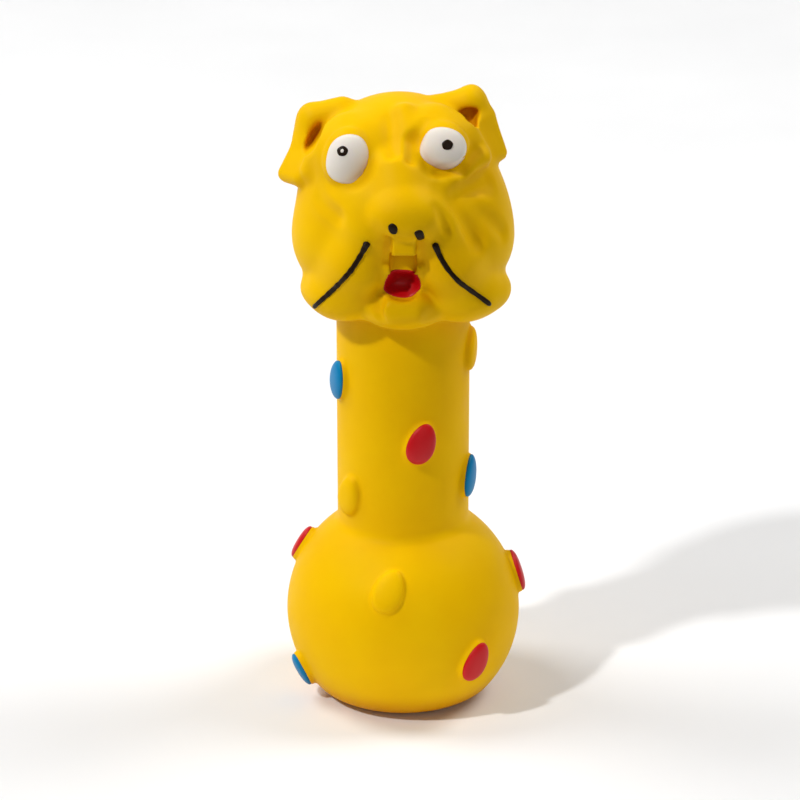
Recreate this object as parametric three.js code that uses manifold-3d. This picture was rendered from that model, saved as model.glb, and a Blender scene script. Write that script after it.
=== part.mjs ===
// A squeaking latex chew toy for a dog: a bulldog's head on a long neck and a round bulb.
// The skin is one hollow casting with raised spots. A squeaker is pressed into its base,
// and the eyes, nostrils, mouth, jowl lines and spots are coats of coloured latex.
// Millimetres, +Z up, the face looks along -Y.
import * as THREE from 'three';
import { mergeVertices } from 'three/addons/utils/BufferGeometryUtils.js';
import Module from 'manifold-3d';

const wasm = await Module();
wasm.setup();

// Driving dimensions of the casting
const bulbRadius = 33.3;
const bulbCentreHeight = 25;
const footFillet = 4;
const neckRadius = 18.6;
const neckFillet = 3;
const jawHeight = 117.5;
const wallThickness = 3;
const headHalfWidth = 30;
const headHalfDepth = 30;
const headHalfHeight = 30;
const headLeanDegrees = 6;
const leanStartHeight = 139.5;
const leanLength = 16;
const leanEndHeight = leanStartHeight + leanLength;

// Driving dimensions of the raised spots and the coats
const spotWidth = 8.6;
const spotLength = 12.6;
const spotHeight = 2.2;
const coatGap = 0.3;
const coatThickness = 0.4;
const jowlLineWidth = 1.3;
const pupilRadius = 1.6;
const eyeRimGap = 0.6;
const eyeRimShare = 0.96;
const rimStepShare = 0.01;
const nostrilWidth = 2.6;
const nostrilHeight = 2.8;
const sightDegrees = 20;
const sightPlaneShare = -0.8;

// Driving dimensions of the squeaker
const flangeRadius = 9.5;
const flangeThickness = 1.2;
const flangeRecess = 0.8;
const lipThickness = 3;
const waistRadius = 6.4;
const barbRadius = 7.8;
const barbHeight = 3;
const barrelRadius = 5.4;
const barrelLength = 4;
const boreRadius = 4;
const ventRadius = 2;
const ventLength = 2.4;
const coreLength = 16;
const airGrooveWidth = 2.2;
const airGrooveDepth = 1.6;
const airGrooveEndWall = 1.4;
const reedWidth = 4.6;
const reedThickness = 0.25;
const reedFreeLength = 7;
const reedRootLength = 3;
const wedgeLength = 4.6;

// Clearances and cutting
const seatGap = 0.3;
const cutOverrun = 1;
const snapStep = 0.001;

// Fineness of the facets
const turnSteps = 40;
const chamberTurnSteps = 24;
const squeakerTurnSteps = 24;
const sculptCellShare = 0.0975;
const footArcSteps = 4;
const bulbArcSteps = 13;
const filletArcSteps = 3;
const chamberArcSteps = 11;
const ballSteps = [20, 14];
const hollowSteps = [20, 12];
const eyeWhiteRings = 4;
const eyeWhiteSteps = 20;
const pupilRings = 2;
const pupilSteps = 12;
const nostrilRings = 1;
const nostrilSteps = 10;
const mouthCornerSteps = 3;
const jowlLineSteps = 16;
const spotTurnSteps = 12;
const coreCurveSteps = 12;
const reedCurveSteps = 10;

// Heights that follow from the driving dimensions
const flangeTop = flangeRecess + flangeThickness;
const lipBottom = flangeTop + seatGap;
const lipTop = lipBottom + lipThickness;
const barbBottom = lipTop + seatGap;
const barrelTop = barbBottom + barbHeight + barrelLength;
const boreBottom = flangeRecess + ventLength;
const neckTop = jawHeight + headHalfHeight / 2;
const headUnit = new THREE.Vector3(headHalfWidth, headHalfDepth, headHalfHeight);

// Materials
function latexMaterial(colour) {
  return new THREE.MeshStandardMaterial({ color: colour, roughness: 0.5, metalness: 0 });
}
const yellowLatex = latexMaterial(0xf0b800);
const redLatex = latexMaterial(0xc8101c);
const blueLatex = latexMaterial(0x0a7fb8);
const whiteLatex = latexMaterial(0xe9dccb);
const blackLatex = latexMaterial(0x241a14);
const housingPlastic = new THREE.MeshStandardMaterial({ color: 0xe8e6df, roughness: 0.4, metalness: 0 });
const reedPlastic = new THREE.MeshStandardMaterial({ color: 0xd9d2bf, roughness: 0.3, metalness: 0 });

// Solids: a closed geometry becomes a manifold solid for joins and cuts, and comes back
function solidOf(geometry) {
  const bare = geometry.clone();
  bare.deleteAttribute('normal');
  bare.deleteAttribute('uv');
  const merged = mergeVertices(bare);
  const vertProperties = new Float32Array(merged.attributes.position.array);
  const triVerts = new Uint32Array(merged.index.array);
  return new wasm.Manifold(new wasm.Mesh({ numProp: 3, vertProperties, triVerts }));
}

function geometryOf(solid) {
  const mesh = solid.getMesh();
  const geometry = new THREE.BufferGeometry();
  const snapped = mesh.vertProperties.map((value) => Math.round(value / snapStep) * snapStep);
  geometry.setAttribute('position', new THREE.BufferAttribute(snapped, mesh.numProp));
  geometry.setIndex(new THREE.BufferAttribute(mesh.triVerts, 1));
  return withoutSlivers(mergeVertices(geometry));
}

// Corners that snap onto one another leave triangles with no area, which are dropped
function withoutSlivers(geometry) {
  const corners = geometry.index.array;
  const kept = [];
  for (let i = 0; i < corners.length; i += 3) {
    const [a, b, c] = corners.slice(i, i + 3);
    if (a !== b && b !== c && c !== a) {
      kept.push(a, b, c);
    }
  }
  geometry.setIndex(kept);
  return geometry;
}

// A turned solid about +Z from a profile of [radius, height] points, outer side anticlockwise
function turned(profile, steps) {
  const points = profile.map(([radius, height]) => new THREE.Vector2(radius, height));
  return new THREE.LatheGeometry(points, steps).rotateX(Math.PI / 2);
}

function arc(centre, radius, from, to, steps) {
  const points = [];
  for (let step = 0; step <= steps; step += 1) {
    const angle = from + (to - from) * step / steps;
    points.push([centre[0] + radius * Math.cos(angle), centre[1] + radius * Math.sin(angle)]);
  }
  return points;
}

// The bulb and neck: a foot with a rounded edge, the ball, a fillet and the straight neck
function bulbAndNeck() {
  const footDrop = bulbCentreHeight - footFillet;
  const footFlat = Math.sqrt((bulbRadius - footFillet) ** 2 - footDrop ** 2);
  const footAngle = Math.atan2(-footDrop, footFlat);
  const filletOut = neckRadius + neckFillet;
  const filletUp = Math.sqrt((bulbRadius + neckFillet) ** 2 - filletOut ** 2);
  const filletHeight = bulbCentreHeight + filletUp;
  const filletAngle = Math.atan2(filletUp, filletOut);
  const profile = [
    [0, 0],
    ...arc([footFlat, footFillet], footFillet, -Math.PI / 2, footAngle, footArcSteps),
    ...arc([0, bulbCentreHeight], bulbRadius, footAngle, filletAngle, bulbArcSteps).slice(1),
    ...arc([filletOut, filletHeight], neckFillet, Math.PI + filletAngle, Math.PI, filletArcSteps).slice(1),
    [neckRadius, neckTop],
    [0, neckTop],
  ];
  return solidOf(turned(profile, turnSteps));
}

// The air chamber: the same outline drawn in by the wall, and two hollows inside the head
const hollowShares = [
  { at: [0, 0.03, 1.07], radii: [0.74, 0.66, 0.66] },
  { at: [0, -0.36, 0.95], radii: [0.46, 0.46, 0.34] },
];

function airChamber() {
  const radius = bulbRadius - wallThickness;
  const neck = neckRadius - wallThickness;
  const floorDrop = bulbCentreHeight - lipTop;
  const floorAngle = Math.atan2(-floorDrop, Math.sqrt(radius ** 2 - floorDrop ** 2));
  const neckAngle = Math.acos(neck / radius);
  const profile = [
    [0, lipTop],
    ...arc([0, bulbCentreHeight], radius, floorAngle, neckAngle, chamberArcSteps),
    [neck, neckTop],
    [0, neckTop],
  ];
  let chamber = solidOf(turned(profile, chamberTurnSteps));
  for (const { at, radii } of hollowShares) {
    const hollow = new THREE.SphereGeometry(1, ...hollowSteps);
    hollow.scale(...new THREE.Vector3(...radii).multiply(headUnit).toArray());
    hollow.translate(...placeInHead(at).toArray());
    chamber = chamber.add(solidOf(lean(hollow)));
  }
  return chamber;
}

// The head is modelled as clay, in shares of its half width, half depth and half height.
// Each row adds or cuts one form with a soft blend, on one side or as a mirrored pair.
// Turns are in degrees, about x, y and z.
const clayShares = [
  // Skull, cheeks, brows and the broad muzzle
  { add: egg, at: [0, 0.03, 1.1], radii: [0.88, 0.8, 0.86], blend: 0.1 },
  { add: egg, paired: true, at: [0.4, -0.06, 1.08], radii: [0.45, 0.6, 0.46], blend: 0.2 },
  { add: egg, paired: true, at: [0.44, -0.12, 0.69], radii: [0.58, 0.66, 0.6], blend: 0.2 },
  { add: egg, at: [0, -0.42, 1.12], radii: [0.7, 0.6, 0.44], blend: 0.14 },
  { add: egg, paired: true, at: [0.36, -0.34, 1.56], radii: [0.38, 0.32, 0.3], blend: 0.16 },
  {
    add: block, at: [0.02, -0.62, 1.28], half: [0.25, 0.25, 0.27], rounding: 0.07,
    turns: [-18, 3, 0], blend: 0.07,
  },
  // Jowls and lip pads
  { add: egg, at: [0.48, -0.3, 0.22], radii: [0.51, 0.52, 0.27], blend: 0.08 },
  { add: egg, at: [-0.46, -0.3, 0.23], radii: [0.48, 0.52, 0.26], blend: 0.08 },
  {
    add: roll, paired: true, from: [0.3, -0.78, 0.92], to: [0.4, -0.68, 0.58], radii: [0.22, 0.27],
    blend: 0.16,
  },
  {
    add: roll, paired: true, from: [0.4, -0.68, 0.58], to: [0.56, -0.52, 0.28], radii: [0.26, 0.27],
    blend: 0.1,
  },
  { add: roll, from: [0, -0.74, 0.84], to: [0, -0.62, 0.36], radii: [0.26, 0.24], blend: 0.08 },
  // Chin, nose and the block between the nostrils
  { add: egg, at: [0, -0.54, 0.15], radii: [0.42, 0.38, 0.22], blend: 0.06 },
  { add: roll, from: [-0.12, -0.82, 0.2], to: [0.12, -0.82, 0.2], radii: [0.12, 0.12], blend: 0.08 },
  { add: egg, at: [0.05, -0.92, 1.1], radii: [0.34, 0.24, 0.25], blend: 0.06 },
  { add: block, at: [0.005, -0.96, 0.86], half: [0.12, 0.18, 0.13], rounding: 0.05, blend: 0.05 },
  // Temple ridges
  {
    add: roll, paired: true, from: [0.42, -0.24, 1.76], to: [0.64, -0.3, 1.62], radii: [0.11, 0.09],
    blend: 0.12,
  },
  {
    add: roll, paired: true, from: [0.64, -0.3, 1.62], to: [0.77, -0.3, 1.42], radii: [0.09, 0.09],
    blend: 0.08,
  },
  // Ears: a fold at the top, a flap that hangs down outside and the narrow pit between them
  { add: roll, from: [0.46, 0.08, 1.76], to: [0.71, 0.06, 1.8], radii: [0.14, 0.14], blend: 0.08 },
  { add: roll, from: [-0.46, 0.06, 1.78], to: [-0.65, 0.06, 1.75], radii: [0.14, 0.14], blend: 0.08 },
  {
    add: block, at: [0.82, -0.05, 1.48], half: [0.1, 0.22, 0.25], rounding: 0.09,
    turns: [0, -16, -30], blend: 0.08,
  },
  {
    add: block, at: [-0.84, -0.06, 1.46], half: [0.1, 0.22, 0.25], rounding: 0.09,
    turns: [0, 38, 30], blend: 0.08,
  },
  { add: egg, paired: true, at: [0.75, 0.16, 1.66], radii: [0.15, 0.22, 0.27], blend: 0.1 },
  { add: egg, at: [-0.84, 0.08, 1.34], radii: [0.13, 0.2, 0.2], blend: 0.1 },
  { cut: egg, at: [0.71, -0.16, 1.71], radii: [0.1, 0.18, 0.1], turns: [0, -6, 0], blend: 0.05 },
  { cut: egg, at: [-0.67, -0.18, 1.7], radii: [0.07, 0.18, 0.17], turns: [0, 32, 0], blend: 0.05 },
  // Eye sockets
  { cut: egg, at: [-0.41, -0.78, 1.6], radii: [0.24, 0.14, 0.26], turns: [-20, 16, -8], blend: 0.05 },
  { cut: egg, at: [0.45, -0.78, 1.6], radii: [0.24, 0.14, 0.24], turns: [-20, -30, 8], blend: 0.05 },
  // Grooves beside the block, the wings of the nose and the recess over the mouth
  { cut: roll, from: [-0.14, -1.16, 0.94], to: [-0.15, -1.0, 0.58], radii: [0.05, 0.07], blend: 0.05 },
  { cut: roll, from: [0.16, -1.16, 0.9], to: [0.15, -1.0, 0.58], radii: [0.05, 0.07], blend: 0.05 },
  { cut: roll, from: [0.39, -1.06, 1.18], to: [0.41, -1.0, 0.96], radii: [0.07, 0.05], blend: 0.05 },
  { cut: block, at: [0, -1.02, 0.65], half: [0.12, 0.2, 0.1], rounding: 0.03, blend: 0.03 },
  // A crease at the mouth's left corner and a dimple at its right
  { cut: roll, from: [-0.17, -1.02, 0.36], to: [-0.28, -0.94, 0.2], radii: [0.07, 0.06], blend: 0.08 },
  { cut: egg, at: [0.27, -0.94, 0.2], radii: [0.07, 0.08, 0.1], blend: 0.08 },
  // Wrinkles of the brow
  { cut: roll, from: [-0.07, -0.74, 1.62], to: [-0.11, -0.42, 1.86], radii: [0.08, 0.06], blend: 0.1 },
  { add: roll, from: [0.08, -0.56, 1.64], to: [0.06, -0.3, 1.86], radii: [0.09, 0.08], blend: 0.1 },
  { cut: roll, from: [0.22, -0.74, 1.62], to: [0.21, -0.42, 1.86], radii: [0.09, 0.06], blend: 0.1 },
  // The bag under the eye and the folds of the cheeks
  { add: roll, from: [0.5, -0.62, 1.34], to: [0.78, -0.36, 1.48], radii: [0.09, 0.08], blend: 0.12 },
  { cut: roll, from: [0.5, -0.86, 1.16], to: [0.82, -0.56, 1.24], radii: [0.08, 0.08], blend: 0.14 },
  { cut: roll, from: [0.6, -0.9, 1.12], to: [0.92, -0.56, 0.76], radii: [0.09, 0.08], blend: 0.18 },
  { cut: roll, from: [-0.5, -0.9, 1.16], to: [-0.74, -0.7, 1.1], radii: [0.08, 0.08], blend: 0.15 },
];

const straight = [0, 0, 0];
const farShare = 10;
const probeShare = 0.002;
const lowShares = [-1.3, -1.35, -0.2];
const highShares = [1.3, 1.05, 2.25];

function placeInHead(shares) {
  return new THREE.Vector3(...shares).multiply(headUnit).add(new THREE.Vector3(0, 0, jawHeight));
}

function shareInHead(point) {
  return point.clone().sub(new THREE.Vector3(0, 0, jawHeight)).divide(headUnit);
}

function turnMatrix(turns) {
  const [pitch, roll, yaw] = turns.map(THREE.MathUtils.degToRad);
  const euler = new THREE.Euler(pitch, roll, yaw, 'ZYX');
  return new THREE.Matrix4().makeRotationFromEuler(euler).transpose();
}

function egg({ at, radii, turns = straight }) {
  const centre = new THREE.Vector3(...at);
  const size = new THREE.Vector3(...radii);
  const matrix = turnMatrix(turns);
  const local = new THREE.Vector3();
  const inner = new THREE.Vector3();
  return (point) => {
    local.copy(point).sub(centre).applyMatrix4(matrix).divide(size);
    inner.copy(local).divide(size);
    const reach = local.length();
    return reach * (reach - 1) / Math.max(inner.length(), Number.EPSILON);
  };
}

function roll({ from, to, radii }) {
  const start = new THREE.Vector3(...from);
  const along = new THREE.Vector3(...to).sub(start);
  const lengthSquared = along.lengthSq();
  const local = new THREE.Vector3();
  return (point) => {
    local.copy(point).sub(start);
    const share = THREE.MathUtils.clamp(local.dot(along) / lengthSquared, 0, 1);
    local.addScaledVector(along, -share);
    return local.length() - THREE.MathUtils.lerp(...radii, share);
  };
}

function block({ at, half, rounding, turns = straight }) {
  const centre = new THREE.Vector3(...at);
  const flat = new THREE.Vector3(...half).subScalar(rounding);
  const matrix = turnMatrix(turns);
  const local = new THREE.Vector3();
  return (point) => {
    local.copy(point).sub(centre).applyMatrix4(matrix);
    local.set(Math.abs(local.x), Math.abs(local.y), Math.abs(local.z)).sub(flat);
    const inside = Math.min(Math.max(local.x, local.y, local.z), 0);
    return local.clampScalar(0, Infinity).length() + inside - rounding;
  };
}

const clay = clayShares.flatMap((row) => {
  const sides = row.paired ? [1, -1] : [1];
  const shape = row.add ? row.add(row) : row.cut(row);
  return sides.map((side) => ({ side, shape, added: Boolean(row.add), blend: row.blend }));
});

function blended(a, b, blend) {
  const share = THREE.MathUtils.clamp(0.5 + 0.5 * (b - a) / blend, 0, 1);
  return THREE.MathUtils.lerp(b, a, share) - blend * share * (1 - share);
}

// Signed distance to the clay in shares: negative inside
const mirrored = new THREE.Vector3();
function clayField(point) {
  let distance = farShare;
  for (const { side, shape, added, blend } of clay) {
    mirrored.set(point.x * side, point.y, point.z);
    const other = shape(mirrored);
    distance = added ? blended(distance, other, blend) : -blended(-distance, other, blend);
  }
  return distance;
}

// The clay's skin: one vertex in each cell that the surface crosses, one quad for each crossed edge
function clayGeometry() {
  const cell = new THREE.Vector3(sculptCellShare, sculptCellShare, sculptCellShare);
  const low = new THREE.Vector3(...lowShares);
  const counts = new THREE.Vector3(...highShares).sub(low).divide(cell).ceil();
  const [nx, ny, nz] = counts.toArray();
  const index = (i, j, k) => i + (nx + 1) * (j + (ny + 1) * k);
  const corner = (i, j, k) => new THREE.Vector3(i, j, k).multiply(cell).add(low);
  const values = new Float64Array((nx + 1) * (ny + 1) * (nz + 1));
  for (let k = 0; k <= nz; k += 1) {
    for (let j = 0; j <= ny; j += 1) {
      for (let i = 0; i <= nx; i += 1) {
        values[index(i, j, k)] = clayField(corner(i, j, k));
      }
    }
  }
  const vertexOfCell = new Map();
  const positions = [];
  for (let k = 0; k < nz; k += 1) {
    for (let j = 0; j < ny; j += 1) {
      for (let i = 0; i < nx; i += 1) {
        const crossing = cellCrossing(i, j, k, values, index, corner);
        if (crossing) {
          vertexOfCell.set(index(i, j, k), positions.length / 3);
          positions.push(...placeInHead(settle(crossing).toArray()).toArray());
        }
      }
    }
  }
  const triangles = crossedEdgeQuads([nx, ny, nz], values, index, vertexOfCell);
  const geometry = new THREE.BufferGeometry();
  geometry.setAttribute('position', new THREE.Float32BufferAttribute(positions, 3));
  geometry.setIndex(triangles);
  return geometry;
}

const cubeEdges = [];
for (let axis = 0; axis < 3; axis += 1) {
  for (const first of [0, 1]) {
    for (const second of [0, 1]) {
      const start = [0, 0, 0];
      start[(axis + 1) % 3] = first;
      start[(axis + 2) % 3] = second;
      const end = [...start];
      end[axis] = 1;
      cubeEdges.push([start, end]);
    }
  }
}

function cellCrossing(i, j, k, values, index, corner) {
  const sum = new THREE.Vector3();
  let found = 0;
  for (const [start, end] of cubeEdges) {
    const a = values[index(i + start[0], j + start[1], k + start[2])];
    const b = values[index(i + end[0], j + end[1], k + end[2])];
    if ((a < 0) !== (b < 0)) {
      const near = corner(i + start[0], j + start[1], k + start[2]);
      sum.add(near.lerp(corner(i + end[0], j + end[1], k + end[2]), a / (a - b)));
      found += 1;
    }
  }
  return found > 0 ? sum.divideScalar(found) : null;
}

function crossedEdgeQuads([nx, ny, nz], values, index, vertexOfCell) {
  const triangles = [];
  const steps = [[1, 0, 0], [0, 1, 0], [0, 0, 1]];
  for (let k = 1; k < nz; k += 1) {
    for (let j = 1; j < ny; j += 1) {
      for (let i = 1; i < nx; i += 1) {
        steps.forEach((step, axis) => {
          const inside = values[index(i, j, k)] < 0;
          if (inside === values[index(i + step[0], j + step[1], k + step[2])] < 0) {
            return;
          }
          const side = steps[(axis + 1) % 3];
          const rise = steps[(axis + 2) % 3];
          const cellVertex = (a, b) => vertexOfCell.get(index(
            i - a * side[0] - b * rise[0],
            j - a * side[1] - b * rise[1],
            k - a * side[2] - b * rise[2],
          ));
          const quad = [cellVertex(1, 1), cellVertex(0, 1), cellVertex(0, 0), cellVertex(1, 0)];
          if (!inside) {
            quad.reverse();
          }
          triangles.push(quad[0], quad[1], quad[2], quad[0], quad[2], quad[3]);
        });
      }
    }
  }
  return triangles;
}

// The field's slope, and one step along it that settles a point onto the surface
function slope(point) {
  const gradient = new THREE.Vector3();
  for (const axis of ['x', 'y', 'z']) {
    const ahead = point.clone();
    const behind = point.clone();
    ahead[axis] += probeShare;
    behind[axis] -= probeShare;
    gradient[axis] = (clayField(ahead) - clayField(behind)) / (2 * probeShare);
  }
  return gradient;
}

function settle(point) {
  const gradient = slope(point);
  const move = gradient.multiplyScalar(-clayField(point) / gradient.lengthSq());
  return point.clone().add(move.clampLength(0, sculptCellShare / 2));
}

const uprightHead = new THREE.Mesh(clayGeometry());

// The head leans to its right above the cheeks: points turn about a line at the lean's start
function leanPoint(point) {
  const share = THREE.MathUtils.smoothstep(point.z, leanStartHeight, leanEndHeight);
  const pivot = new THREE.Vector3(0, point.y, leanStartHeight);
  const angle = -THREE.MathUtils.degToRad(headLeanDegrees) * share;
  return point.clone().sub(pivot).applyAxisAngle(new THREE.Vector3(0, 1, 0), angle).add(pivot);
}

function lean(geometry) {
  const position = geometry.attributes.position;
  for (let i = 0; i < position.count; i += 1) {
    const point = leanPoint(new THREE.Vector3().fromBufferAttribute(position, i));
    position.setXYZ(i, point.x, point.y, point.z);
  }
  return geometry;
}

// Spots: shallow egg-shaped buttons, narrower at the upper end
const neckSpotShares = [
  { up: 0.68, turn: -68, colour: 'blue' },
  { up: 0.45, turn: 15, colour: 'red' },
  { up: 0.23, turn: 72, colour: 'blue' },
  { up: 0.17, turn: -53, colour: 'yellow' },
  { up: 0.8, turn: 80, colour: 'yellow' },
  { up: 0.7, turn: 152, colour: 'red' },
  { up: 0.42, turn: -145, colour: 'blue' },
  { up: 0.2, turn: 165, colour: 'red' },
];
const bulbSpots = [
  { latitude: 30, turn: -8, colour: 'yellow' },
  { latitude: 30, turn: -103, colour: 'red' },
  { latitude: 18, turn: 92, colour: 'red' },
  { latitude: -9, turn: 37, colour: 'red' },
  { latitude: -26, turn: -70, colour: 'blue' },
  { latitude: 26, turn: 145, colour: 'blue' },
  { latitude: 8, turn: -150, colour: 'yellow' },
  { latitude: -14, turn: 170, colour: 'red' },
];
const spotTilt = 18;
const spotEggShare = 0.16;
const spotRoundness = 2.6;
const spotRootShare = 0.6;
const domeShares = [1, 0.8, 0.6, 0.4, 0.2, 0];
const coatShares = [0, 0.2, 0.4, 0.6, 0.825];

function domePoint(share, grow) {
  const angle = share * Math.PI / 2;
  const out = Math.sin(angle) ** (2 / spotRoundness);
  const up = Math.cos(angle) ** (2 / spotRoundness);
  return [out * (spotWidth / 2 + grow), up * (spotHeight + grow)];
}

function eggShaped(geometry) {
  const position = geometry.attributes.position;
  const half = spotLength / 2;
  for (let i = 0; i < position.count; i += 1) {
    const along = position.getY(i) * spotLength / spotWidth;
    position.setX(i, position.getX(i) * (1 - spotEggShare * along / half));
    position.setY(i, along);
  }
  return geometry;
}

function spotDome() {
  const profile = [[0, -spotHeight * spotRootShare], [spotWidth / 2, -spotHeight * spotRootShare]];
  for (const share of domeShares) {
    profile.push(domePoint(share, 0));
  }
  return eggShaped(turned(profile, spotTurnSteps));
}

function spotCoat() {
  const inner = coatShares.map((share) => domePoint(share, coatGap));
  const outer = coatShares.map((share) => domePoint(share, coatGap + coatThickness)).reverse();
  return eggShaped(turned([...inner, ...outer], spotTurnSteps));
}

// The place of a spot: x runs round the toy, y up along its surface and z out of it
function spotPlace(point, out, tilt) {
  const round = new THREE.Vector3(0, 0, 1).cross(out).normalize();
  const up = out.clone().cross(round);
  const place = new THREE.Matrix4().makeBasis(round, up, out).setPosition(point);
  return place.multiply(new THREE.Matrix4().makeRotationZ(THREE.MathUtils.degToRad(-tilt)));
}

function directionAt(turn, latitude) {
  const across = THREE.MathUtils.degToRad(turn);
  const up = THREE.MathUtils.degToRad(latitude);
  return new THREE.Vector3(
    Math.sin(across) * Math.cos(up), -Math.cos(across) * Math.cos(up), Math.sin(up));
}

function spotPlaces() {
  const neckBottom = bulbCentreHeight + Math.sqrt(bulbRadius ** 2 - neckRadius ** 2);
  const places = [];
  for (const { up, turn, colour } of neckSpotShares) {
    const out = directionAt(turn, 0);
    const point = out.clone().multiplyScalar(neckRadius);
    point.z = THREE.MathUtils.lerp(neckBottom, jawHeight, up);
    places.push({ colour, place: spotPlace(point, out, spotTilt) });
  }
  for (const { latitude, turn, colour } of bulbSpots) {
    const out = directionAt(turn, latitude);
    const point = out.clone().multiplyScalar(bulbRadius);
    point.z += bulbCentreHeight;
    places.push({ colour, place: spotPlace(point, out, spotTilt) });
  }
  return places;
}

// The casting: bulb, neck, head and domes joined, then the air chamber and the squeaker's seat cut out
function latexSkin() {
  let skin = bulbAndNeck().add(solidOf(lean(uprightHead.geometry.clone())));
  skin = skin.add(eyeball('left')).add(eyeball('right'));
  for (const { place } of spotPlaces()) {
    skin = skin.add(solidOf(spotDome().applyMatrix4(place)));
  }
  const recess = flangeRadius + seatGap;
  const hole = waistRadius + seatGap;
  const seat = turned([
    [0, -cutOverrun], [recess, -cutOverrun], [recess, lipBottom], [hole, lipBottom],
    [hole, lipTop + cutOverrun], [0, lipTop + cutOverrun],
  ], squeakerTurnSteps);
  return geometryOf(skin.subtract(mouthPocket()).subtract(airChamber()).subtract(solidOf(seat)));
}

// Coats on the head: a point in front of the face is drawn in along a line of sight to the skin,
// and comes with the direction out of the clay there
const sight = new THREE.Raycaster();
function skinPoint(start, direction) {
  sight.set(start.clone().addScaledVector(direction, -2 * headHalfDepth), direction);
  const { point } = sight.intersectObject(uprightHead)[0];
  const out = slope(shareInHead(point)).divide(headUnit).normalize();
  return { point: point.clone(), out };
}

// A round coat: rings of points about a centre, seen along a direction, with an outline in shares
function roundCoat(centre, direction, outline, rings, steps, gap) {
  const across = new THREE.Vector3(0, 0, 1).cross(direction).normalize().negate();
  const up = across.clone().cross(direction).normalize();
  const ringPoints = (share, offset) => {
    const points = [];
    for (let step = 0; step < steps; step += 1) {
      const angle = 2 * Math.PI * step / steps;
      const [wide, high] = outline(angle);
      const start = centre.clone().addScaledVector(across, wide * share).addScaledVector(up, high * share);
      const { point, out } = skinPoint(start, direction);
      points.push(point.addScaledVector(out, offset));
    }
    return points;
  };
  const middle = skinPoint(centre, direction);
  const inner = [];
  const outer = [];
  for (let ring = 1; ring <= rings; ring += 1) {
    inner.push(ringPoints(ring / rings, gap));
    outer.push(ringPoints(ring / rings, gap + coatThickness));
  }
  const bottom = middle.point.clone().addScaledVector(middle.out, gap);
  const top = middle.point.clone().addScaledVector(middle.out, gap + coatThickness);
  return lean(closedRings([bottom], [...inner, ...outer.reverse()], [top]));
}

// A closed skin through rings of points, ended by a point or left flat at both ends
function closedRings(first, rings, last) {
  const all = [first, ...rings, last];
  const starts = [];
  const positions = [];
  for (const ring of all) {
    starts.push(positions.length / 3);
    ring.forEach((point) => positions.push(...point.toArray()));
  }
  const triangles = [];
  for (let row = 0; row + 1 < all.length; row += 1) {
    const steps = Math.max(all[row].length, all[row + 1].length);
    for (let step = 0; step < steps; step += 1) {
      const next = (step + 1) % steps;
      const a = starts[row] + (all[row].length > 1 ? step : 0);
      const b = starts[row] + (all[row].length > 1 ? next : 0);
      const c = starts[row + 1] + (all[row + 1].length > 1 ? next : 0);
      const d = starts[row + 1] + (all[row + 1].length > 1 ? step : 0);
      if (a !== b) {
        triangles.push(a, b, c);
      }
      if (c !== d) {
        triangles.push(a, c, d);
      }
    }
  }
  const geometry = new THREE.BufferGeometry();
  geometry.setAttribute('position', new THREE.Float32BufferAttribute(positions, 3));
  geometry.setIndex(triangles);
  return geometry;
}

// Eyes: each eyeball is an egg set into the face, with its pupil's place in shares of its radii
const eyes = {
  left: {
    at: [-0.41, -0.55, 1.575], radii: [0.2, 0.15, 0.22], turns: [-20, 16, -8],
    pupilShares: [-0.185, 0.155],
  },
  right: {
    at: [0.45, -0.55, 1.575], radii: [0.2, 0.15, 0.2], turns: [-20, -30, 8],
    pupilShares: [0.225, -0.07],
  },
};

function eyeRadii(side, grow) {
  return new THREE.Vector3(...eyes[side].radii).multiply(headUnit).addScalar(grow);
}

// A point of the eyeball, grown by a gap, from its place across the eye in real size
function eyePoint(side, across, up, grow) {
  const radii = eyeRadii(side, grow);
  const depth = Math.sqrt(Math.max(0, 1 - (across / radii.x) ** 2 - (up / radii.z) ** 2));
  const point = new THREE.Vector3(across, -radii.y * depth, up);
  return point.applyMatrix4(turnMatrix(eyes[side].turns).transpose()).add(placeInHead(eyes[side].at));
}

// How far out a coat runs on the eyeball before it comes down to the face, as a share of the radii
function rimShare(side, angle) {
  const radii = eyeRadii(side, 0);
  let share = eyeRimShare;
  while (share > 0 && clayField(shareInHead(
    eyePoint(side, radii.x * share * Math.cos(angle), radii.z * share * Math.sin(angle), 0)),
  ) * headHalfWidth < eyeRimGap) {
    share -= rimStepShare;
  }
  return share;
}

function eyeball(side) {
  const ball = new THREE.SphereGeometry(1, ...ballSteps).scale(...eyeRadii(side, 0).toArray());
  ball.applyMatrix4(turnMatrix(eyes[side].turns).transpose());
  return solidOf(lean(ball.translate(...placeInHead(eyes[side].at).toArray())));
}

// A coat on the eyeball, from rings that an outline gives as places across the eye
function eyeCoat(side, centre, outline, rings, steps, gap) {
  const ring = (share, offset) => {
    const points = [];
    for (let step = 0; step < steps; step += 1) {
      const [across, up] = outline(2 * Math.PI * step / steps);
      points.push(eyePoint(side, centre[0] + across * share, centre[1] + up * share, offset));
    }
    return points;
  };
  const inner = [];
  const outer = [];
  for (let count = 1; count <= rings; count += 1) {
    inner.push(ring(count / rings, gap));
    outer.push(ring(count / rings, gap + coatThickness));
  }
  const bottom = eyePoint(side, ...centre, gap);
  const top = eyePoint(side, ...centre, gap + coatThickness);
  return lean(closedRings([bottom], [...inner, ...outer.reverse()], [top]));
}

function eyeWhite(side) {
  const radii = eyeRadii(side, 0);
  const outline = (angle) => {
    const share = rimShare(side, angle);
    return [radii.x * share * Math.cos(angle), radii.z * share * Math.sin(angle)];
  };
  return eyeCoat(side, [0, 0], outline, eyeWhiteRings, eyeWhiteSteps, coatGap);
}

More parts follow.
